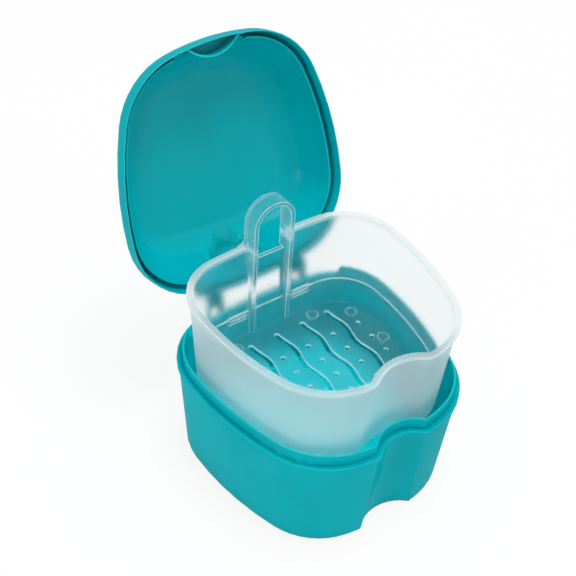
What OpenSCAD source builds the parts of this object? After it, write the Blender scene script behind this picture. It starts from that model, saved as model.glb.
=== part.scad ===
// Denture case: a cup-shaped base with a scalloped front, a domed lid on two snap hinges
// and a lift-out rinsing basket with a loop handle.
// Shown open, with the basket lifted. Millimetres, +Z up, front towards -Y.
// The origin is the middle of the footprint, on the surface the case stands on.

/* [Case outline] */
// Width across the ledge that the lid closes on
case_w = 100; // [92:1:112]
// Depth across the ledge, front to back, without the scallop
case_d = 100; // [94:1:112]
// Radius of the bulged sides
side_r = 131; // [110:1:180]
// Radius of the bulged back
back_r = 150; // [110:1:220]
// Radius of the bulged front
front_r = 102; // [85:1:140]
// Radius of the two back corners
back_corner_r = 29.5; // [24:0.5:34]
// Radius of the two front corners
front_corner_r = 32; // [26:0.5:36]
// How far behind the middle the case is widest
widest_back = 14.5; // [8:0.5:18]
// Radius of the scallop in the front
scallop_r = 13; // [11:0.5:16]
// Depth of the scallop in the front
scallop_d = 5.8; // [4:0.2:7]
// Radius of the edge where the scallop meets the front
scallop_edge_r = 3.2; // [2.4:0.2:4.5]

/* [Base] */
// Height of the ledge above the table
ledge_z = 47.3; // [42:0.1:56]
// Height of the upright rim above the ledge
rim_h = 4.6; // [3.6:0.1:5.6]
// Thickness of the upright rim
rim_t = 1; // [0.9:0.05:1.6]
// Thickness of the base wall
base_wall = 1.6; // [1.2:0.1:2.2]
// Thickness of the base floor
base_floor = 1.8; // [1.4:0.1:3]
// How much each side draws in from the ledge to the bottom
base_taper = 3.6; // [2:0.2:5]
// Radius of the bottom edge
bottom_r = 3; // [2:0.5:5]
// Height of the band below the ledge
band_h = 2.4; // [1.6:0.2:4]
// How far the band stands out from the wall
band_out = 0.5; // [0.3:0.1:0.9]
// How far in front of the back ledge the upright rim ends
rim_cut_d = 11; // [11:0.5:18]

/* [Lid] */
// Height of the lid above the ledge
lid_h = 24.2; // [23.4:0.1:30]
// Thickness of the skirt
skirt_t = 0.95; // [0.9:0.05:1.4]
// Depth of the lead-in along the inside of the skirt's free edge
lead_d = 0.5; // [0.45:0.01:0.55]
// Height of the lead-in
lead_h = 3; // [2.5:0.1:3.4]
// How far the skirt rises above its inner step, up to the dome
skirt_over = 0.8; // [0.7:0.1:1.6]
// How far the skirt draws in at its top
shoulder = 0.45; // [0.2:0.05:0.8]
// Wall thickness of the dome
lid_wall = 1.4; // [1.1:0.1:1.8]
// Radius of the dome's edge
dome_r = 13; // [9:0.5:15]
// Draft of the dome's wall, in millimetres for each millimetre of height
dome_draft = 0.55; // [0.3:0.01:0.6]
// Thickness of the sealing lip
lip_t = 1; // [0.8:0.05:1.3]
// How far the sealing lip reaches below the top of the upright rim
lip_reach = 1.1; // [0.6:0.1:2]
// Angle from closed to open
lid_open = 108.7; // [95:0.1:112]

/* [Hinge] */
// Height of the hinge axis above the ledge
axis_up = 4.9; // [4.7:0.1:6]
// Distance of the hinge axis behind the ledge
axis_back = 2.1; // [1.9:0.1:3]
// Distance of each knuckle from the middle
knuckle_x = 20.5; // [18:0.5:26]
// Width of each knuckle
knuckle_w = 9; // [8:0.5:12]
// Outer radius of the knuckles
knuckle_r = 2.7; // [2.4:0.05:2.9]
// Thickness of each ear on the base
ear_t = 1.8; // [1.4:0.1:2.4]
// Radius of the moulded hinge pin
pin_r = 1.25; // [1.1:0.05:1.45]
// Radial running clearance of the pin
pin_gap = 0.05; // [0.03:0.01:0.1]
// Opening of the snap mouth
mouth_w = 1.9; // [1.6:0.1:2.1]

/* [Basket] */
// Height of the basket from its feet to its rim
basket_h = 44.8; // [38:0.1:46]
// Wall thickness of the basket
basket_wall = 1.5; // [1.2:0.1:2]
// Thickness of the basket floor
basket_floor = 1.2; // [1:0.1:2]
// How much each side draws in from the rim to the floor
basket_taper = 3; // [1.5:0.1:4]
// How far the rim stands out from the wall
lip_out = 1.1; // [0.8:0.1:1.6]
// Height of the outer edge of the rim
lip_h = 1.7; // [1.2:0.1:2.6]
// Radius of the inside floor edge
basket_in_r = 2; // [1.5:0.1:3]
// Height of the feet under the floor
foot_h = 0.7; // [0.5:0.1:1.2]
// Radius of the feet
foot_r = 2.6; // [1.8:0.1:3]
// Room behind the basket
room_back = 3.6; // [3:0.1:5]
// Room in front of the basket
room_front = 1.5; // [1.2:0.1:3]
// How far the basket is lifted as shown
lift = 34.8; // [25:0.1:36]
// Height of the wall step above the feet
step_up = 12.9; // [8:0.1:20]
// Depth of the wall step
step_d = 0.5; // [0.3:0.05:0.8]

/* [Basket handle] */
// Outer width of the handle
handle_w = 18.6; // [16:0.2:19.4]
// Height of the handle above the rim
handle_h = 20.2; // [16:0.1:21]
// Depth of the handle strip, front to back
handle_d = 7; // [5:0.1:8]
// Thickness of the handle strip
handle_t = 1.7; // [1.3:0.1:2.4]
// Radius where the handle flows into the rim
handle_foot_r = 3; // [2:0.5:7]
// Depth of the dip in the rim between the legs
dip_d = 7.4; // [3:0.2:10]
// How far each leg stands out from the wall at the floor
rib_d = 1.6; // [1:0.1:2.4]
// Width of the ribbed pads beside the legs
pad_w = 8.6; // [6:0.2:10]
// Height of the ribbed pads
pad_h = 5; // [4:0.2:7]

/* [Drain pattern] */
// Number of wavy slots
slots = 5; // [3:2:5]
// Pitch of the slots
slot_pitch = 12.63; // [12:0.1:13.2]
// Width of each slot
slot_w = 2.4; // [1.4:0.1:2.8]
// Length of each slot
slot_l = 57; // [40:0.5:58]
// Half width of the wave
wave = 0.85; // [0.4:0.05:1.2]
// Length of one wave
wave_l = 20; // [16:0.5:26]
// Diameter of the drain holes
hole_d = 2.2; // [1.6:0.1:2.6]
// Pitch of the holes along the slots
hole_pitch = 9.2; // [8:0.1:10]
// Number of holes in a column
holes = 5; // [3:1:5]
// How far in front of the slots' back ends the first holes lie
hole_setback = 13; // [8:0.5:14]

/* [Clearances] */
// Gap between the skirt and the upright rim
skirt_gap = 0.3; // [0.25:0.01:0.4]
// Gap between the sealing lip and the upright rim
lip_gap = 0.3; // [0.25:0.01:0.5]
// Gap between the basket and the upright rim
basket_gap = 0.35; // [0.25:0.01:0.8]
// Gap under the seated basket's feet
seat_gap = 0.1; // [0.05:0.01:0.3]
// Gap beside each clip, between the ears
clip_gap = 0.3; // [0.2:0.01:0.5]
// Gap under the step of the lid, above the upright rim
step_gap = 0.4; // [0.3:0.01:0.6]
// Room beside and behind the handle inside the closed lid
handle_room = 1.7; // [1.2:0.1:2.4]
// Room above the handle, which it also needs while the lid swings down over it
handle_rise = 2.6; // [2.5:0.05:2.8]

/* [Hidden] */

// Segments of each arc of an outline
arc_n = 5;
corner_n = 8;
scallop_n = 5;
small_n = 3;
// Smallest radius left on the scallop's edge
sharp_r = 0.8;
// Small rounding of free edges
edge = 0.35;
small_edge = edge / 3;
// Overlap that joins two shapes of one piece
sink = 0.6;
// Margin by which a cut reaches past what it cuts
past = 1;
// Segments of the round parts
bore_fn = 48;
hole_fn = 24;
foot_fn = 32;

// Insets from the ledge's outer edge
skirt_in = 0.9;
rim_in = skirt_in + skirt_t + skirt_gap;
mouth_in = rim_in + rim_t;
lip_in = mouth_in + lip_gap;
rim_top = ledge_z + rim_h;

// Hinge axis
axis_y = case_d / 2 + axis_back;
axis_z = ledge_z + axis_up;

// Basket places, seated and as shown
seat_z = base_floor + seat_gap;
basket_z = seat_z + lift;
basket_top = basket_z + basket_h;
floor_top = foot_h + basket_floor;
basket_side = mouth_in + basket_gap;
basket_back = case_d / 2 - basket_side - room_back;
basket_front = case_d / 2 - basket_side - room_front;
basket_out_r = basket_in_r + basket_wall;
handle_in_w = handle_w - 2 * handle_t;
handle_front = basket_back - handle_d;
wall_in = lip_out;
wave_steps = 10;

// An outline is a list of named sizes: half width, back, front, radii of side, back and front,
// radii of the back and front corners, place of the widest point, and the scallop's radius,
// depth and edge radius. A scallop radius of 0 leaves the front plain.
case_outline = [case_w / 2, case_d / 2, case_d / 2, side_r, back_r, front_r, back_corner_r,
                front_corner_r, widest_back, scallop_r, scallop_d, scallop_edge_r];
lid_outline = [case_w / 2, case_d / 2, case_d / 2, side_r, back_r, front_r, back_corner_r,
               front_corner_r, widest_back, 0, 0, 0];
// The basket's back is nearly flat and its scallop wider and softer than the cup's
flatter = 2.7;
softer_edge = 3.5;
basket_corner_cut = 3;
basket_outline = [case_w / 2 - basket_side, basket_back, basket_front, side_r - basket_side,
                  back_r * flatter, front_r - basket_side - room_front,
                  back_corner_r - basket_side - basket_corner_cut,
                  front_corner_r - basket_side, widest_back,
                  scallop_r + basket_side + room_front, scallop_d, scallop_edge_r + softer_edge];

// Point where two circles cross, on the side that lies clockwise of the line between them
function crossing(c1, r1, c2, r2) =
    let (v = c2 - c1, d = norm(v), u = v / d,
         a = (r1 * r1 - r2 * r2 + d * d) / (2 * d), h = sqrt(max(0, r1 * r1 - a * a)))
    c1 + a * u + h * [u[1], -u[0]];

function bearing(c, p) = atan2(p[1] - c[1], p[0] - c[0]);

// Points of an arc from one bearing to another, without its first point
function arc_points(c, r, from, to, n) =
    [for (i = [1 : n]) let (t = from + (to - from) * i / n) c + r * [cos(t), sin(t)]];

// Right half of an outline, drawn in by inset, from the middle of the back to the middle of the front
function half_outline(o, inset) =
    let (w = o[0] - inset, back = o[1] - inset, front = -o[2] + inset,
         rs = o[3] - inset, rb = o[4] - inset, rf = o[5] - inset,
         kb = o[6] - inset, kf = o[7] - inset,
         cs = [w - rs, o[8]], cb = [0, back - rb], cf = [0, front + rf],
         pb = crossing(cb, rb - kb, cs, rs - kb),
         pf = crossing(cs, rs - kf, cf, rf - kf),
         b1 = bearing(cb, pb), b2 = bearing(cs, pb), b3 = bearing(cs, pf), b4 = bearing(cf, pf),
         start = concat([[0, back]],
                        arc_points(cb, rb, 90, b1, arc_n),
                        arc_points(pb, kb, b1, b2, corner_n),
                        arc_points(cs, rs, b2, b3, arc_n),
                        arc_points(pf, kf, b3, b4, corner_n)))
    o[9] == 0
        ? concat(start, arc_points(cf, rf, b4, -90, arc_n))
        : let (ri = o[9] + inset, kl = max(o[11] - inset, sharp_r),
               ci = [0, -o[2] + o[10] - o[9]],
               pl = crossing(ci, ri + kl, cf, rf - kl),
               b5 = bearing(cf, pl), b6 = bearing(pl, ci), b7 = bearing(ci, pl))
          concat(start,
                 arc_points(cf, rf, b4, b5, small_n),
                 arc_points(pl, kl, b5, b6 > b5 ? b6 - 360 : b6, small_n),
                 arc_points(ci, ri, b7, 90, scallop_n));

// Where the back of an outline lies at a distance from the middle
function back_at(o, inset, x) =
    lookup(x, [for (p = half_outline(o, inset)) if (p[1] > o[8]) p]);

// Whole outline, clockwise from above
function outline(o, inset) =
    let (h = half_outline(o, inset), n = len(h))
    concat(h, [for (i = [n - 2 : -1 : 1]) [-h[i][0], h[i][1]]]);

// Closed skin over an outline, for a profile of [inset, height] pairs that starts at the bottom
// of the outside and ends on the last flat it closes
module skin(o, profile) {
    rings = [for (p = profile) [for (q = outline(o, p[0])) [q[0], q[1], p[1]]]];
    n = len(rings[0]);
    m = len(rings);
    sides = [for (i = [0 : m - 2], j = [0 : n - 1]) let (k = (j + 1) % n)
             each [[i * n + j, i * n + k, (i + 1) * n + k],
                   [i * n + j, (i + 1) * n + k, (i + 1) * n + j]]];
    polyhedron([for (r = rings) each r],
               concat([[for (j = [n - 1 : -1 : 0]) j]], sides, [[for (j = [0 : n - 1]) (m - 1) * n + j]]));
}

// Quarter round in profile terms: from inset a at height z, with radius r, between two angles
function round_profile(centre, r, from, to, n) =
    [for (i = [0 : n]) let (t = from + (to - from) * i / n) centre + r * [-cos(t), sin(t)]];

// Outside inset of the base wall at a height
function base_inset(z) = band_out + base_taper * (ledge_z - z) / ledge_z;

base_in_r = max(bottom_r - base_wall, 1);
base_in_z = base_floor + base_in_r;
wall_meets = ledge_z * (1 - (mouth_in - band_out - base_wall) / base_taper);
groove = 0.5;

base_profile = concat(
    round_profile([base_inset(bottom_r) + bottom_r, bottom_r], bottom_r, -90, 0, small_n),
    [[base_inset(ledge_z - band_h - band_out), ledge_z - band_h - band_out],
     [edge / 3, ledge_z - band_h],
     [0, ledge_z - band_h + edge],
     [0, ledge_z - edge],
     [edge / 3, ledge_z - edge / 3],
     [edge, ledge_z],
     [rim_in - groove, ledge_z - groove / 2],
     [rim_in, ledge_z - groove / 2]],
    round_profile([rim_in + rim_t / 2, rim_top - rim_t / 2], rim_t / 2, 0, 180, small_n),
    [[mouth_in, wall_meets]],
    round_profile([base_inset(base_in_z) + base_wall + base_in_r, base_in_z], base_in_r, 0, -90, 3));

// Ear that carries the hinge pin, standing behind the ledge, with its inner side at x
module ear(x) {
    root_z = -band_h - axis_up;
    root_low = root_z - 2 * knuckle_r;
    root_y = back_at(case_outline, base_inset(axis_z + root_low), x + ear_t) - sink - axis_y;
    translate([x, axis_y, axis_z]) rotate([90, 0, 90]) linear_extrude(ear_t) {
        circle(r = knuckle_r, $fn = bore_fn);
        polygon([[knuckle_r, 0], [-knuckle_r, 0], [-knuckle_r, root_z + band_h - band_out],
                 [root_y, root_z + band_h - band_out], [root_y, root_low],
                 [knuckle_r - pin_r, root_z]]);
    }
}

module base() color([0.0, 0.66, 0.69]) {
    difference() {
        skin(case_outline, base_profile);
        // The upright rim ends before the hinge, so that the skirt can swing past it
        translate([0, case_d / 2 - rim_cut_d, ledge_z]) rotate([90, 0, 90])
            linear_extrude(case_w, center = true)
                polygon([[rim_h / 4, 0], [rim_cut_d + past, 0], [rim_cut_d + past, rim_h + past],
                         [-past / 4, rim_h + past]]);
    }
    for (s = [0, 1]) mirror([s, 0, 0]) {
        ear(knuckle_x - knuckle_w / 2);
        ear(knuckle_x + knuckle_w / 2 - ear_t);
        translate([knuckle_x, axis_y, axis_z]) rotate([0, 90, 0])
            cylinder(r = pin_r, h = knuckle_w - ear_t, center = true, $fn = bore_fn);
    }
}

// Profile of the lid, in insets and in heights above the ledge
step_z = rim_h + step_gap;
skirt_h = step_z + skirt_over;
skirt_back = skirt_in + skirt_t;
shoulder_in = skirt_in + shoulder;
lip_z = rim_h - lip_reach;
dome_z = lid_h - dome_r;
draft_a = atan(dome_draft);
dome_c = shoulder_in + dome_draft * (dome_z + dome_r * sin(draft_a) - skirt_h) + dome_r * cos(draft_a);
// Inside inset of the dome's sloping wall at a height, and the height at an inset
function wall_in_at(z) = shoulder_in + lid_wall / cos(draft_a) + dome_draft * (z - skirt_h);
function wall_z_at(inset) = skirt_h + (inset - shoulder_in - lid_wall / cos(draft_a)) / dome_draft;

dome_inside = round_profile([dome_c, dome_z], dome_r - lid_wall, 90, draft_a, 5);
lid_profile = concat(
    dome_inside,
    [[lip_in + lip_t, wall_z_at(lip_in + lip_t)],
     [lip_in + lip_t, lip_z + edge],
     [lip_in + lip_t - edge, lip_z],
     [lip_in + edge, lip_z],
     [lip_in, lip_z + edge],
     [lip_in, max(wall_z_at(lip_in), step_z + edge)],
     [skirt_back + edge, step_z],
     [skirt_back, step_z - edge],
     [skirt_back, lead_h],
     [skirt_back - lead_d, small_edge],
     [skirt_back - lead_d - small_edge, 0],
     [skirt_in + small_edge, 0],
     [skirt_in, small_edge],
     [skirt_in, skirt_h - shoulder],
     [shoulder_in, skirt_h]],
    round_profile([dome_c, dome_z], dome_r, draft_a, 90, 6));

// Arched housing over the handle, at the back of the dome
pocket_back = basket_back + handle_room;
pocket_r = handle_w / 2 + handle_room;
pocket_top = seat_z + basket_h + handle_h + handle_rise - ledge_z;
dome_mid_y = case_d / 2 - dome_c;

module pocket_body(grow, corner) {
    high = pocket_top + grow;
    back = pocket_back + grow;
    low = step_z + past;
    arch = pocket_r + grow;
    intersection() {
        rotate([90, 0, 90]) linear_extrude(2 * arch + past, center = true) difference() {
            union() {
                translate([back - corner, high - corner]) circle(r = corner, $fn = bore_fn);
                translate([dome_mid_y, low]) square([back - dome_mid_y, high - corner - low]);
                translate([dome_mid_y, low]) square([back - corner - dome_mid_y, high - low]);
            }
            if (grow > 0)
                polygon(concat([[0, 0], [0, lid_h - lid_wall + edge]],
                               [for (p = dome_inside) [case_d / 2 - p[0] + edge, p[1] + edge]],
                               [[case_d / 2 - wall_in_at(0) + edge, 0]]));
        }
        translate([0, back + past, 0]) extrude_back(back + past) {
            translate([0, high - arch]) circle(r = arch, $fn = bore_fn);
            translate([-arch, 0]) square([2 * arch, high - arch]);
        }
    }
}

// Plan of a band between two insets of an outline, in the middle of its front
module front_band(o, from, to, half_w) {
    intersection() {
        difference() {
            polygon(outline(o, from));
            polygon(outline(o, to));
        }
        translate([-half_w, -case_d]) square([2 * half_w, case_d]);
    }
}

web_half = scallop_r + sink;
web_skin = skirt_t / 8;

// Web that hugs the base's rim in the scallop, and the shelf that closes the pocket behind it
module scallop_web() {
    translate([0, 0, edge + web_skin]) linear_extrude(step_z - web_skin)
        front_band(case_outline, skirt_in + web_skin, skirt_back - web_skin, web_half);
    translate([0, 0, step_z + web_skin]) linear_extrude(lip_t - web_skin) difference() {
        polygon(outline(lid_outline, skirt_back));
        polygon(outline(case_outline, skirt_back - 2 * web_skin));
    }
}

// Space in which the sealing lip makes way for the base's scalloped rim
module lip_gap_cut() {
    translate([0, 0, -past]) linear_extrude(step_z + past + edge)
        front_band(lid_outline, lip_in - edge / 2, lip_in + lip_t + edge / 2, web_half + 2 * lip_t);
}

// Clip that snaps over a pin, rooted in the skirt and in the sloping wall above it
module hinge_clip_body() {
    clip_w = knuckle_w - 2 * (ear_t + clip_gap);
    root_y = back_at(lid_outline, skirt_in, knuckle_x) - sink - axis_y;
    bend_z = min(skirt_h - axis_up, knuckle_r - edge);
    rotate([90, 0, 90]) linear_extrude(clip_w, center = true) {
        circle(r = knuckle_r, $fn = bore_fn);
        polygon([[0, -knuckle_r], [root_y, -knuckle_r], [root_y, bend_z - shoulder],
                 [root_y - shoulder, bend_z],
                 [root_y - shoulder - dome_draft * (knuckle_r - bend_z), knuckle_r], [0, knuckle_r]]);
    }
}

// The lid as closed, with its rim plane at height 0
module closed_lid() {
    axis = [0, axis_y, axis_up];
    difference() {
        union() {
            difference() {
                skin(lid_outline, lid_profile);
                lip_gap_cut();
            }
            scallop_web();
            pocket_body(lid_wall, 3 * lid_wall);
            for (s = [-1, 1]) translate(axis + [s * knuckle_x, 0, 0]) hinge_clip_body();
        }
        pocket_body(0, 2 * lid_wall);
        for (s = [-1, 1]) translate(axis + [s * knuckle_x, 0, 0]) {
            rotate([0, 90, 0]) cylinder(r = pin_r + pin_gap, h = knuckle_w, center = true, $fn = bore_fn);
            rotate([-45, 0, 0]) translate([-knuckle_w / 2, 0, -mouth_w / 2])
                cube([knuckle_w, 2 * knuckle_r, mouth_w]);
        }
    }
}

module lid() color([0.0, 0.62, 0.66])
    translate([0, axis_y, axis_z]) rotate([-lid_open, 0, 0]) translate([0, -axis_y, -axis_up])
        closed_lid();

// Outside inset of the basket wall at a height above the feet
function basket_inset(z) = wall_in + basket_taper * (basket_h - lip_h - z) / (basket_h - lip_h);
function basket_inner(z) = basket_inset(z) + basket_wall;

basket_profile = concat(
    round_profile([basket_inset(foot_h + basket_out_r) + basket_out_r, foot_h + basket_out_r],
                  basket_out_r, -90, 0, small_n),
    [[wall_in, basket_h - lip_h],
     [edge, basket_h - lip_h],
     [0, basket_h - lip_h + edge],
     [0, basket_h - edge],
     [edge, basket_h],
     [basket_inner(basket_h - lip_h) - edge, basket_h],
     [basket_inner(basket_h - lip_h), basket_h - edge],
     [basket_inner(step_up), step_up + step_d],
     [basket_inner(step_up) + step_d, step_up]],
    round_profile([basket_inner(floor_top) + step_d + basket_in_r, floor_top + basket_in_r],
                  basket_in_r, 0, -90, 3));

// Front view of the loop handle, an arch on two legs
module handle_front_view() {
    arch = handle_w / 2;
    difference() {
        union() {
            translate([0, handle_h - arch]) circle(r = arch, $fn = bore_fn);
            translate([-arch, -dip_d]) square([handle_w, handle_h - arch + dip_d]);
        }
        handle_hole_view(dip_d + past);
    }
}

// The opening of the loop, which reaches down into the back wall
module handle_hole_view(depth) {
    arch = handle_in_w / 2;
    translate([0, handle_h - handle_t - arch]) circle(r = arch, $fn = bore_fn);
    translate([-arch, -depth]) square([handle_in_w, handle_h - handle_t - arch + depth]);
}

// Web in which a leg flows into the rim, on its outer side
module foot_view() {
    difference() {
        translate([-edge, -lip_h]) square([handle_foot_r + edge, handle_foot_r + lip_h]);
        translate([handle_foot_r, handle_foot_r]) circle(r = handle_foot_r, $fn = bore_fn);
    }
}

module extrude_back(depth) {
    rotate([90, 0, 0]) linear_extrude(depth) children();
}

// Leg that runs down the inside of the back wall as a tapering rib
module leg() {
    wall_top = basket_back - wall_in - sink;
    wall_low = basket_back - basket_inset(floor_top) - sink;
    rotate([90, 0, 90]) linear_extrude(handle_t)
        polygon([[wall_top, basket_h - lip_h], [handle_front, basket_h - lip_h],
                 [basket_back - basket_inner(floor_top) - rib_d, floor_top - sink], [wall_low, floor_top - sink]]);
}

// Pad with three raised ribs, beside a leg
module ribbed_pad() {
    rib_h = pad_h / 5;
    face_y = basket_back - basket_inner(step_up) - 2 * step_d;
    translate([0, face_y, step_up - pad_h / 2]) {
        cube([pad_w, basket_wall + step_d, pad_h]);
        for (i = [0 : 2]) translate([0, -step_d, 2 * i * rib_h]) cube([pad_w, step_d + sink, rib_h]);
    }
}

// Wavy slot through the floor, from the back towards the front
module wavy_slot(x) {
    n = round(slot_l / wave_l * wave_steps);
    start = slot_back - slot_w / 2;
    function centre(i) = [x + wave * sin(360 * (i / wave_steps - 0.25)), start - slot_l * i / n];
    translate([0, 0, -past]) linear_extrude(floor_top + 2 * past) {
        polygon(concat([for (i = [0 : n]) centre(i) + [slot_w / 2, 0]],
                       [for (i = [n : -1 : 0]) centre(i) - [slot_w / 2, 0]]));
        translate(centre(0)) circle(r = slot_w / 2, $fn = bore_fn);
        translate(centre(n)) circle(r = slot_w / 2, $fn = bore_fn);
    }
}

slot_back = basket_back - basket_inner(floor_top) - basket_in_r - 2 * slot_w;
hole_back = slot_back - hole_setback;
foot_places = [[18.6, 31.6], [33.2, 24.4], [35.2, 5.6], [24, -30.5]];

module drain_pattern() {
    half = (slots - 1) / 2;
    for (i = [-half : half]) wavy_slot(i * slot_pitch);
    for (c = [-half - 0.5 : half + 0.5], r = [0 : holes - 1])
        translate([c * slot_pitch, hole_back - r * hole_pitch, -past])
            cylinder(d = hole_d, h = floor_top + 2 * past, $fn = hole_fn);
}

module basket() color([0.86, 0.93, 0.95, 0.6]) translate([0, 0, basket_z]) {
    difference() {
        union() {
            skin(basket_outline, basket_profile);
            translate([0, basket_back, basket_h]) extrude_back(handle_d) handle_front_view();
            for (s = [0, 1]) mirror([s, 0, 0]) translate([handle_w / 2, basket_back, basket_h])
                extrude_back(lip_out + basket_wall) foot_view();
            for (s = [-1, 1]) {
                translate([s * (handle_w - handle_t) / 2 - handle_t / 2, 0, 0]) leg();
                translate([s * (handle_w / 2 + pad_w / 2 + handle_t) - pad_w / 2, 0, 0]) ribbed_pad();
                for (p = foot_places) translate([s * p[0], p[1], 0])
                    cylinder(r = foot_r, h = foot_h + sink, $fn = foot_fn);
            }
        }
        translate([0, basket_back + past, basket_h]) extrude_back(handle_d + past) handle_hole_view(dip_d);
        drain_pattern();
    }
}

base();
lid();
basket();
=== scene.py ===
import math
import bpy
from mathutils import Matrix, Vector
from mathutils.bvhtree import BVHTree


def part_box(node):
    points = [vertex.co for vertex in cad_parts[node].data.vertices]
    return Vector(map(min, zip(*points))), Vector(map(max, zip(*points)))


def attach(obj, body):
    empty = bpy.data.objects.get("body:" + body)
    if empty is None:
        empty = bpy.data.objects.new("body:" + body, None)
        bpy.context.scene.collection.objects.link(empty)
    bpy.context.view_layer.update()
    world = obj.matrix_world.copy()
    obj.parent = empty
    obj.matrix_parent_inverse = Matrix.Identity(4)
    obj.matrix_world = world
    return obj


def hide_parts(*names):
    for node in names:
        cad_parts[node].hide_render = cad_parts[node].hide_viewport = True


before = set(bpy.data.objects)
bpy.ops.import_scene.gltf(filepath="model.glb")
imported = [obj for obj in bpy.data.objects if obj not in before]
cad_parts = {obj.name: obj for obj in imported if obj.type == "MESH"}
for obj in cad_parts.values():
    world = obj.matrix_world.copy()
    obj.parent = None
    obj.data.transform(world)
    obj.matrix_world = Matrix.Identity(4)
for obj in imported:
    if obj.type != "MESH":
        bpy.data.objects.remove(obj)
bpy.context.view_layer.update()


# the photograph's camera, in metres and degrees, with its lens and sensor in millimetres
cameraLook = {
    "azimuth": -38.27,
    "elevation": 42.13,
    "roll": 3.97,
    "distance": 0.523,
    "target": (0.01853, 0.04902, 0.04),
    "lens": 77.7,
    "sensor": 36.0,
    "nearest": 0.01,             # nothing nearer than this is drawn
}


def makeCamera(look):
    around, above, roll = (math.radians(look[key]) for key in ("azimuth", "elevation", "roll"))
    level = math.cos(above)
    back = Vector((math.sin(around) * level, -math.cos(around) * level, math.sin(above)))
    right = Vector((math.cos(around), math.sin(around), 0))
    up = back.cross(right)
    rolledRight = right * math.cos(roll) + up * math.sin(roll)
    rolledUp = up * math.cos(roll) - right * math.sin(roll)
    data = bpy.data.cameras.new("camera")
    data.lens = look["lens"]
    data.sensor_width = look["sensor"]
    data.clip_start = look["nearest"]
    camera = bpy.data.objects.new("camera", data)
    bpy.context.collection.objects.link(camera)
    place = Matrix((rolledRight, rolledUp, back)).transposed().to_4x4()
    place.translation = Vector(look["target"]) + back * look["distance"]
    camera.matrix_world = place
    bpy.context.scene.camera = camera


makeCamera(cameraLook)
print("camera placed")


class Wire:
    # one output socket of a node, with the operators that the finishes use
    def __init__(self, paint, socket):
        self.paint = paint
        self.socket = socket

    def __add__(self, other):
        return self.paint.maths("ADD", self, other)

    def __radd__(self, other):
        return self.paint.maths("ADD", other, self)

    def __sub__(self, other):
        return self.paint.maths("SUBTRACT", self, other)

    def __rsub__(self, other):
        return self.paint.maths("SUBTRACT", other, self)

    def __mul__(self, other):
        return self.paint.maths("MULTIPLY", self, other)

    def __rmul__(self, other):
        return self.paint.maths("MULTIPLY", other, self)

    def unsigned(self):
        return self.paint.maths("ABSOLUTE", self)

    def root(self):
        return self.paint.maths("SQRT", self)

    def capped(self):
        return self.paint.maths("ADD", self, 0.0, clamp=True)

    def between(self, low, high):
        # 0 below low, 1 above high, smooth in between
        return self.paint.add("ShaderNodeMapRange", {"interpolation_type": "SMOOTHSTEP"},
                              {"Value": self, "From Min": low, "From Max": high})


# how an edge is read from the normal that rounding it would give
edgeReading = {
    "samples": 6,
    "lineStart": 0.002,          # turn of the normal, as 1 less its cosine, where a line begins
    "lineFull": 0.05,            # and where it is full
}


class Paint:
    # the nodes of a material or of the world, made by calls
    def __init__(self, owner):
        self.owner = owner
        owner.use_nodes = True
        self.tree = owner.node_tree
        self.tree.nodes.clear()

    def add(self, kind, settings=None, values=None, output=0):
        node = self.tree.nodes.new(kind)
        for key, value in (settings or {}).items():
            setattr(node, key, value)
        for key, value in (values or {}).items():
            if isinstance(value, Wire):
                self.tree.links.new(value.socket, node.inputs[key])
            else:
                node.inputs[key].default_value = value
        return Wire(self, node.outputs[output]) if node.outputs else None

    def maths(self, operation, first, second=None, clamp=False):
        values = {0: first} if second is None else {0: first, 1: second}
        return self.add("ShaderNodeMath", {"operation": operation, "use_clamp": clamp}, values)

    def place(self):
        return self.add("ShaderNodeTexCoord", output="Object")

    def parts(self, vector):
        return [self.add("ShaderNodeSeparateXYZ", None, {0: vector}, output=i) for i in range(3)]

    def pattern(self, vector, look):
        # a cloudy noise, which low and high spread out from 0 to 1
        noise = self.add("ShaderNodeTexNoise", None, {
            "Vector": vector, "Scale": look["scale"], "Detail": look["detail"],
            "Roughness": look["roughness"]})
        return noise.between(look["low"], look["high"]) if "low" in look else noise

    def blend(self, amount, first, second):
        # a colour between two others; 0, 6 and 7 are a Mix node's factor and its two colours
        return self.add("ShaderNodeMix", {"data_type": "RGBA"}, {0: amount, 6: first, 7: second},
                        output=2)

    def mix(self, amount, first, second):
        return self.add("ShaderNodeMixShader", None, {0: amount, 1: first, 2: second})

    def bump(self, height, depth, under=None):
        values = {"Height": height, "Distance": depth}
        if under is not None:
            values["Normal"] = under
        return self.add("ShaderNodeBump", None, values)

    def edges(self, radius):
        # 1 where rounding the edges would turn the surface, 0 on flats
        rounded = self.add("ShaderNodeBevel", {"samples": edgeReading["samples"]},
                           {"Radius": radius})
        flat = self.add("ShaderNodeNewGeometry", output="Normal")
        along = self.add("ShaderNodeVectorMath", {"operation": "DOT_PRODUCT"},
                         {0: rounded, 1: flat}, output="Value")
        turned = 1.0 - along.unsigned()
        return turned.between(edgeReading["lineStart"], edgeReading["lineFull"])

    def finish(self, shader, output="ShaderNodeOutputMaterial"):
        self.add(output, None, {"Surface": shader})
        return self.owner


def colour(hexCode):
    # a colour as written on screen, turned into linear light by the sRGB curve
    parts = [int(hexCode[i:i + 2], 16) / 255 for i in (0, 2, 4)]
    linear = [p / 12.92 if p <= 0.04045 else ((p + 0.055) / 1.055) ** 2.4 for p in parts]
    return (*linear, 1.0)


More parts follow.
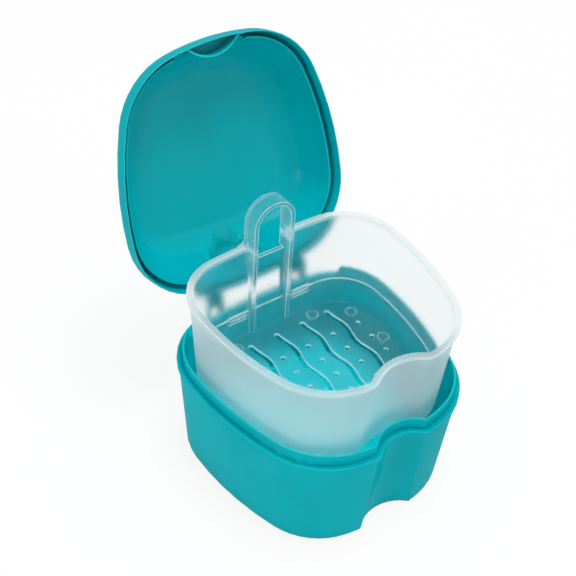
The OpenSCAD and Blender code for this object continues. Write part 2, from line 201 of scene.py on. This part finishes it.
# moulded teal plastic; noise scales are per metre
tealLook = {
    "colour": "00aab4",
    "deepColour": "00a2ac",      # where the pigment streams are denser
    "gloss": 0.0,                # all of the shine is in the coat, so steep views stay deep
    "roughness": 0.24,
    "roughnessSpread": 0.07,
    "coat": 0.11,
    "coatRoughness": 0.18,
    "edgeHighlightColour": "30c6cd",      # painted highlight: open convex edges are lightened in the colour, for the shine they catch and the light thin edges let through
    "edgeHighlightShare": 0.7,
    "edgeWidth": 0.0006,
    "edgeOpenness": (0.75, 0.95),
    "creaseShadeColour": "007883",    # painted shade: inner corners are darkened in the colour where little light reaches
    "creaseShadeShare": 0.55,
    "creaseReach": 0.006,
    "creaseSamples": 8,
    "creaseOpenness": (0.2, 0.85),
    "stream": {"scale": 26.0, "detail": 3.0, "roughness": 0.6, "low": 0.35, "high": 0.7},
    "smudge": {"scale": 182.0, "detail": 4.0, "roughness": 0.65, "low": 0.3, "high": 0.75},
    "grain": {"scale": 2600.0, "detail": 2.0, "roughness": 0.5},    # spark-eroded mould
    "grainDepth": 0.00001,
    "swell": {"scale": 34.0, "detail": 1.0, "roughness": 0.5},      # the wall sank as it cooled
    "swellDepth": 0.00008,
    "turn": (0.0, 0.0, 0.0),     # of the patterns, in radians
}
# painted shade reaches further into the lid's wide hollow and darkens it more
lidLook = dict(tealLook, creaseReach=0.024, creaseShadeShare=0.75, turn=(1.9, 0.3, 0.0))


def tealPlastic(name, look):
    paint = Paint(bpy.data.materials.new(name))
    at = paint.add("ShaderNodeMapping", None, {"Vector": paint.place(), "Rotation": look["turn"]})
    plain = paint.blend(paint.pattern(at, look["stream"]),
                        colour(look["colour"]), colour(look["deepColour"]))
    openness = paint.add("ShaderNodeAmbientOcclusion", {"samples": look["creaseSamples"]},
                         {"Distance": look["creaseReach"]}, output="AO")
    # painted highlight along convex edges where the surroundings are open
    paintedEdgeHighlight = paint.edges(look["edgeWidth"]) * openness.between(*look["edgeOpenness"])
    lit = paint.blend(paintedEdgeHighlight * look["edgeHighlightShare"], plain, colour(look["edgeHighlightColour"]))
    # painted shade in inner corners and hollows, read from ambient occlusion
    paintedCreaseShade = 1.0 - openness.between(*look["creaseOpenness"])
    base = paint.blend(paintedCreaseShade * look["creaseShadeShare"], lit, colour(look["creaseShadeColour"]))
    rough = paint.pattern(at, look["smudge"]) * look["roughnessSpread"] + look["roughness"]
    swell = paint.bump(paint.pattern(at, look["swell"]), look["swellDepth"])
    normal = paint.bump(paint.pattern(at, look["grain"]), look["grainDepth"], swell)
    return paint.finish(paint.add("ShaderNodeBsdfPrincipled", None, {
        "Base Color": base, "Roughness": rough, "Normal": normal,
        "Specular IOR Level": look["gloss"], "Coat Weight": look["coat"],
        "Coat Roughness": look["coatRoughness"]}))


# translucent plastic of the basket
clearLook = {
    "tint": "fbfdfd",
    "milk": "f9fcfd",
    "milkShare": 0.016,          # how much each face of a wall scatters light, at most
    "milkThrough": 0.3,          # share of that light that goes on through the wall
    "rimMilk": 0.4,              # more milk in the thick rim
    "ringMilk": 0.5,             # and where the feet's edges show through the floor
    "grazingMilk": 0.03,         # and where a wall is seen along its length
    "grazingBlend": 0.3,
    "edgeHighlightMilk": 1.0,             # and full milk in thin lines along the edges, a painted highlight for the light that rounded edges gather
    "edgeFade": 0.1,             # less of it on edges seen through the wall
    "edgeWidth": 0.0005,
    "blurShare": 0.92,           # share of the light that the wall blurs
    "blurRoughness": 0.6,
    "blurBend": 1.25,            # its index of refraction
    "hazeShare": 0.08,           # share of what lies behind that the wall spreads widely
    "lampShare": 0.95,           # share of the lamps' light that the wall lets through
    "glossShare": 0.2,
    "glossBend": 1.45,
    "glossRoughness": 0.16,
    "roughnessSpread": 0.08,
    "cloud": {"scale": 60.0, "detail": 3.0, "roughness": 0.6, "low": 0.3, "high": 0.7},
    "grain": {"scale": 1500.0, "detail": 2.0, "roughness": 0.5},
    "grainDepth": 0.00001,
}

# places on the basket in metres, with heights above the feet, then how milky its kinds of face
# are when they are seen from outside the plastic
basketMarks = {
    "rim": 0.0448,
    "rimStart": -0.0024,         # the rim's milk, from its top
    "rimFull": -0.0014,
    "rimEnd": 0.002,
    "wallEnd": -0.002,
    "feetTop": 0.0007,
    "feetPlaces": ((0.0186, 0.0316), (0.0332, 0.0244), (0.0352, 0.0056), (0.024, -0.0305)),
    "ringStart": 0.0021,         # radius where a foot's ring begins and is full
    "ringFull": 0.0023,
    "ringWidth": 0.0003,
    "floorTop": 0.0019,
    "floorGap": 0.0001,          # above the floor, edge lines begin and are full
    "floorFade": 0.0008,
    "stepMiddle": 0.01315,       # the sloping ledge round the inside of the wall
    "padMiddle": 0.0129,
    "padHalfHeight": 0.0028,
    "padInner": 0.0108,          # from the middle plane
    "padOuter": 0.0198,
    "closeness": 0.0001,         # how well a height has to agree, and where a test ray starts
    "wallSlope": 0.6,            # largest upward part of a wall's normal
    "slotSlope": 0.01,
    "stepSlope": 0.4,            # smallest upward part on the step and on the floor
    "floorSlope": 0.99,
    "padFront": 0.9999,          # smallest forward part on a rib's face
    "wallMilk": 0.3,             # the mould's eroded outside
    "slotMilk": 1.0,             # cut sides of the drain slots and holes
    "floorMilk": 0.01,
    "stepMilk": 0.55,
    "padMilk": 0.48,
}


def feetRings(paint, across, along, marks):
    # the round feet under the floor, seen through it as thin rings
    rings = 0.0
    for x, y in marks["feetPlaces"]:
        aside, ahead = across.unsigned() - x, along - y
        reach = (aside * aside + ahead * ahead).root()
        inner = reach.between(marks["ringStart"], marks["ringFull"])
        outer = reach.between(marks["ringStart"] + marks["ringWidth"],
                              marks["ringFull"] + marks["ringWidth"])
        rings = rings + inner * (1.0 - outer)
    return rings


def clearPlastic(name, look, feet, marks):
    paint = Paint(bpy.data.materials.new(name))
    at = paint.place()
    across, along, upward = paint.parts(at)
    height = upward - feet
    rim = marks["rim"]
    aboveFloor = height.between(marks["floorTop"] + marks["floorGap"],
                                marks["floorTop"] + marks["floorFade"])
    belowRimEnd = 1.0 - height.between(rim, rim + marks["rimEnd"])
    inRim = height.between(rim + marks["rimStart"], rim + marks["rimFull"]) * belowRimEnd
    cloud = paint.pattern(at, look["cloud"])
    normal = paint.bump(paint.pattern(at, look["grain"]), look["grainDepth"])
    grazing = paint.add("ShaderNodeLayerWeight", None, {"Blend": look["grazingBlend"]},
                        output="Facing")
    inward = paint.add("ShaderNodeNewGeometry", output="Backfacing")
    entering = 1.0 - inward      # 1 where a ray comes into the plastic
    frost = paint.add("ShaderNodeAttribute", {"attribute_name": "frost"}, output="Fac")

    tint, milk = colour(look["tint"]), colour(look["milk"])
    straight = paint.add("ShaderNodeBsdfTransparent", None, {"Color": tint})
    blurred = paint.add("ShaderNodeBsdfRefraction", None, {
        "Color": tint, "Roughness": look["blurRoughness"], "IOR": look["blurBend"],
        "Normal": normal})
    back = paint.add("ShaderNodeBsdfTranslucent", None, {"Color": milk, "Normal": normal})
    front = paint.add("ShaderNodeBsdfDiffuse", None, {"Color": milk, "Normal": normal})
    soft = paint.mix(entering * look["blurShare"], straight, blurred)
    through = paint.mix(entering * look["hazeShare"], soft, back)
    milky = paint.mix(look["milkThrough"], front, back)

    rings = feetRings(paint, across, along, marks) * (1.0 - aboveFloor)
    # painted highlight: milky thin lines along the edges above the floor
    edgeHighlightLines = paint.edges(look["edgeWidth"]) * aboveFloor * (1.0 - inward * look["edgeFade"])
    share = (grazing * look["grazingMilk"] + inRim * entering * look["rimMilk"]
             + frost * entering + rings * entering * look["ringMilk"]
             + edgeHighlightLines * look["edgeHighlightMilk"] + cloud * look["milkShare"]).capped()
    wall = paint.mix(share, through, milky)
    gloss = paint.add("ShaderNodeBsdfGlossy", None, {
        "Color": (1, 1, 1, 1), "Normal": normal,
        "Roughness": cloud * look["roughnessSpread"] + look["glossRoughness"]})
    fresnel = paint.add("ShaderNodeFresnel", None, {"IOR": look["glossBend"], "Normal": normal})
    solid = paint.mix(fresnel * entering * look["glossShare"], wall, gloss)
    lamps = paint.add("ShaderNodeLightPath", output="Is Shadow Ray") * look["lampShare"]
    return paint.finish(paint.mix(lamps, solid, straight))


# the three mouldings, smooth-shaded over the CAD solids
shellLook = {
    "weld": 0.00001,             # merge distance of the loose triangles
    "flatAngle": 0.2,            # triangles of one flat face become one face
    "smoothAngle": 50.0,         # steeper edges stay sharp
    "flatWeight": 72,            # how strongly large faces hold the shading flat
}


def smoothShell(name, node, body, material, look):
    bpy.ops.object.select_all(action="DESELECT")
    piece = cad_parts[node].copy()
    piece.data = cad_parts[node].data.copy()
    piece.name = piece.data.name = name
    bpy.context.collection.objects.link(piece)
    piece.parent = None
    piece.matrix_world = Matrix.Identity(4)
    piece.select_set(True)
    bpy.context.view_layer.objects.active = piece
    bpy.ops.object.mode_set(mode="EDIT")
    bpy.ops.mesh.select_all(action="SELECT")
    bpy.ops.mesh.remove_doubles(threshold=look["weld"])
    bpy.ops.mesh.dissolve_degenerate(threshold=look["weld"])
    bpy.ops.mesh.select_all(action="SELECT")
    bpy.ops.mesh.dissolve_limited(angle_limit=math.radians(look["flatAngle"]))
    bpy.ops.object.mode_set(mode="OBJECT")
    bpy.ops.object.shade_smooth_by_angle(angle=math.radians(look["smoothAngle"]))
    weighted = piece.modifiers.new("faceWeights", "WEIGHTED_NORMAL")
    weighted.keep_sharp = True
    weighted.weight = look["flatWeight"]
    bpy.ops.object.modifier_apply(modifier=weighted.name)
    piece.data.materials.clear()
    piece.data.materials.append(material)
    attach(piece, body)
    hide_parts(node)
    print("made", name, len(piece.data.polygons), "faces")
    return piece


def faceMilk(face, tree, feet, marks):
    height = face.center.z - feet
    upward = face.normal.z

    def isAt(mark):
        return abs(height - mark) < marks["closeness"]

    besideMiddle = marks["padInner"] < abs(face.center.x) < marks["padOuter"]
    atPads = abs(height - marks["padMiddle"]) < marks["padHalfHeight"]
    if besideMiddle and atPads and -face.normal.y > marks["padFront"]:
        return marks["padMilk"]
    if upward > marks["stepSlope"] and isAt(marks["stepMiddle"]):
        return marks["stepMilk"]
    if upward > marks["floorSlope"] and isAt(marks["floorTop"]):
        return marks["floorMilk"]
    if abs(upward) < marks["slotSlope"] and isAt((marks["feetTop"] + marks["floorTop"]) / 2):
        return marks["slotMilk"]
    if abs(upward) < marks["wallSlope"] and height < marks["rim"] + marks["wallEnd"]:
        # a wall face is outside when a ray from it meets nothing more of the piece
        start = face.center + face.normal * marks["closeness"]
        if tree.ray_cast(start, face.normal)[0] is None:
            return marks["wallMilk"]
    return 0.0


def markFrost(piece, feet, marks):
    mesh = piece.data
    tree = BVHTree.FromPolygons([v.co for v in mesh.vertices],
                                [list(face.vertices) for face in mesh.polygons])
    frost = mesh.attributes.new("frost", "FLOAT", "FACE")
    for face in mesh.polygons:
        frost.data[face.index].value = faceMilk(face, tree, feet, marks)


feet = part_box("basket")[0].z
tealBase = tealPlastic("tealMouldingBase", tealLook)
tealLid = tealPlastic("tealMouldingLid", lidLook)
clear = clearPlastic("clearMoulding", clearLook, feet, basketMarks)
print("plastics mixed")
smoothShell("baseCup", "base", "base", tealBase, shellLook)
smoothShell("domedLid", "lid", "lid", tealLid, shellLook)
basketPiece = smoothShell("rinsingBasket", "basket", "basket", clear, shellLook)
markFrost(basketPiece, feet, basketMarks)


# floor, backdrop light and lamps, in metres and watts
studioLook = {
    "floorSize": 6.0,
    "floorGlow": 0.88,           # share of the floor's white that shadows don't darken
    "floorPaint": 0.1,           # share that they do darken
    "floorCloud": {"scale": 3.0, "detail": 2.0, "roughness": 0.5, "low": 0.0, "high": 1.0},
    "floorSpread": 0.01,         # how much paler its clouds are
    "floorBounce": (0.8, 0.8, 0.8, 1),   # for the light that it throws on the object
    "worldLight": 0.62,
    "backdropLight": 1.0,        # shows as white
    "aim": (0.0, 0.03, 0.06),
}
lampLook = {
    "keyLamp": {"power": 11.0, "size": 0.6, "place": (0.12, -0.1, 1.5)},
    "fillLamp": {"power": 3.0, "size": 0.8, "place": (0.5, -1.35, 0.35)},
    "sideLamp": {"power": 5.0, "size": 0.6, "place": (-1.3, -0.25, 0.15)},
}
white = (1, 1, 1, 1)


def seenDirectly(paint):
    # 1 for what the camera, a reflection or a clear wall sees, 0 for light on the object
    rays = ("Is Camera Ray", "Is Glossy Ray", "Is Transmission Ray")
    camera, glossy, clearWall = (paint.add("ShaderNodeLightPath", output=ray) for ray in rays)
    return (camera + glossy + clearWall).capped()


def makeFloor(look):
    bpy.ops.object.select_all(action="DESELECT")
    bpy.ops.mesh.primitive_plane_add(size=look["floorSize"], location=(0, 0, 0))
    floor = bpy.context.active_object
    floor.name = "floor"
    paint = Paint(bpy.data.materials.new("paleFloor"))
    cloud = paint.pattern(paint.place(), look["floorCloud"])
    dim, pale = (paint.add("ShaderNodeBsdfDiffuse", None, {"Color": (tone, tone, tone, 1)})
                 for tone in (look["floorPaint"], look["floorPaint"] + look["floorSpread"]))
    glow = paint.add("ShaderNodeEmission", None, {"Color": white, "Strength": look["floorGlow"]})
    shown = paint.add("ShaderNodeAddShader", None, {0: paint.mix(cloud, dim, pale), 1: glow})
    bounced = paint.add("ShaderNodeBsdfDiffuse", None, {"Color": look["floorBounce"]})
    floor.data.materials.append(paint.finish(paint.mix(seenDirectly(paint), bounced, shown)))


def makeWorld(look):
    world = bpy.data.worlds.new("studio")
    bpy.context.scene.world = world
    paint = Paint(world)
    sky, backdrop = (paint.add("ShaderNodeBackground", None, {"Color": white, "Strength": light})
                     for light in (look["worldLight"], look["backdropLight"]))
    paint.finish(paint.mix(seenDirectly(paint), sky, backdrop), "ShaderNodeOutputWorld")


def makeLamp(name, look, aim):
    data = bpy.data.lights.new(name, "AREA")
    data.shape = "DISK"
    data.size = look["size"]
    data.energy = look["power"]
    lamp = bpy.data.objects.new(name, data)
    bpy.context.collection.objects.link(lamp)
    lamp.location = look["place"]
    towards = Vector(aim) - Vector(look["place"])
    lamp.rotation_euler = towards.to_track_quat("-Z", "Y").to_euler()


makeFloor(studioLook)
makeWorld(studioLook)
for name, look in lampLook.items():
    makeLamp(name, look, studioLook["aim"])
bpy.context.scene.view_settings.view_transform = "Standard"
print("studio lit")
